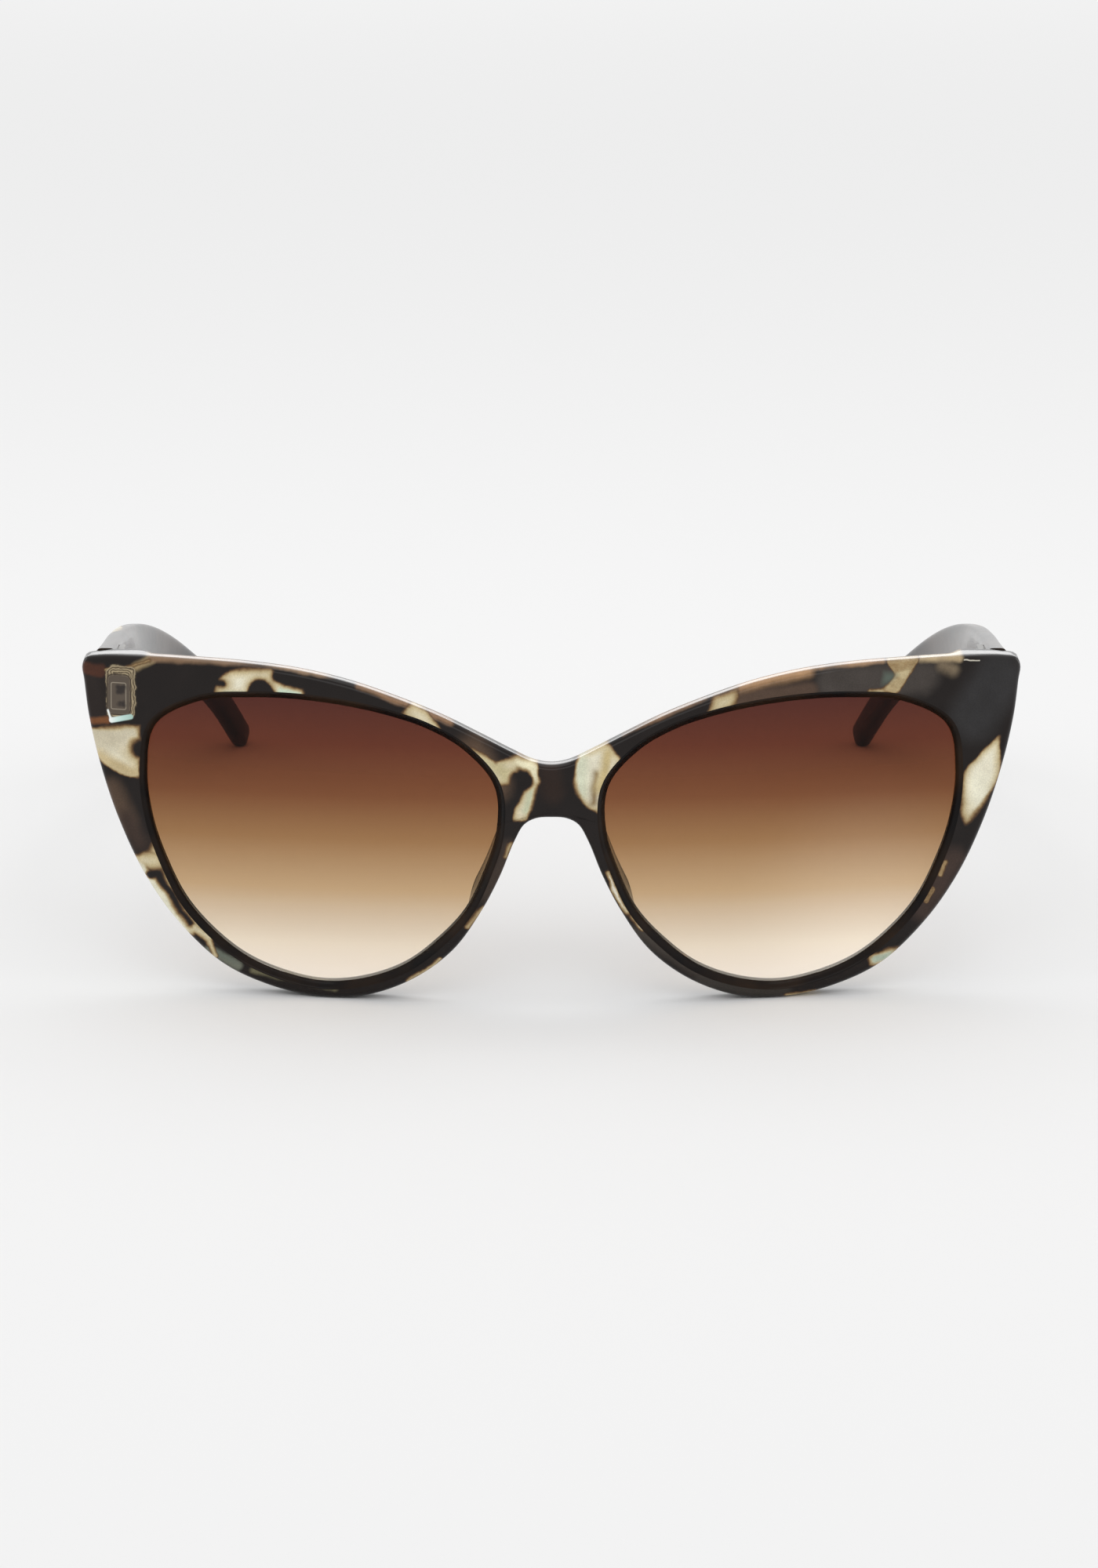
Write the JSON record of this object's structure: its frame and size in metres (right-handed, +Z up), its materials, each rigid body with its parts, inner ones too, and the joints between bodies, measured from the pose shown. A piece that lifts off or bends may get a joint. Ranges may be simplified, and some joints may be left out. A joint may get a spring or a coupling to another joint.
{
  "type": "cat eye sunglasses",
  "caption": "Cat eye sunglasses with an upswept tortoiseshell front, brown gradient lenses and temples that fold on metal hinges.",
  "frame": {"origin": "centre of the bounding box's bottom, on the table the open sunglasses stand on", "axes": "+Z up; the front faces -Y and the temples run towards +Y; +X is the wearer's left"},
  "size_m": [0.1468, 0.1504, 0.0528],
  "materials": {
    "tortoise": "polished dark tortoiseshell with cream and amber patches",
    "lens_tint": "clear gloss with a brown tint that fades downwards",
    "hinge_metal": "satin"
  },
  "bodies": {
    "front": {"front_frame": "tortoise", "lens_left": "lens_tint", "lens_right": "lens_tint", "hinge_front_leaf_left": "hinge_metal", "hinge_front_leaf_right": "hinge_metal"},
    "temple_left": {"temple_left": "tortoise", "hinge_temple_leaf_left": "hinge_metal", "hinge_screw_left": "hinge_metal"},
    "temple_right": {"temple_right": "tortoise", "hinge_temple_leaf_right": "hinge_metal", "hinge_screw_right": "hinge_metal"}
  },
  "joints": [
    {"name": "temple_left_fold", "type": "hinge", "parent": "front", "child": "temple_left", "pos_m": [0.067, -0.05345, 0.04702], "axis": [0, 0.0698, 0.9976], "range_deg": [0, 86]},
    {"name": "temple_right_fold", "type": "hinge", "parent": "front", "child": "temple_right", "pos_m": [-0.067, -0.05345, 0.04702], "axis": [0, -0.0698, -0.9976], "range_deg": [0, 80]}
  ]
}
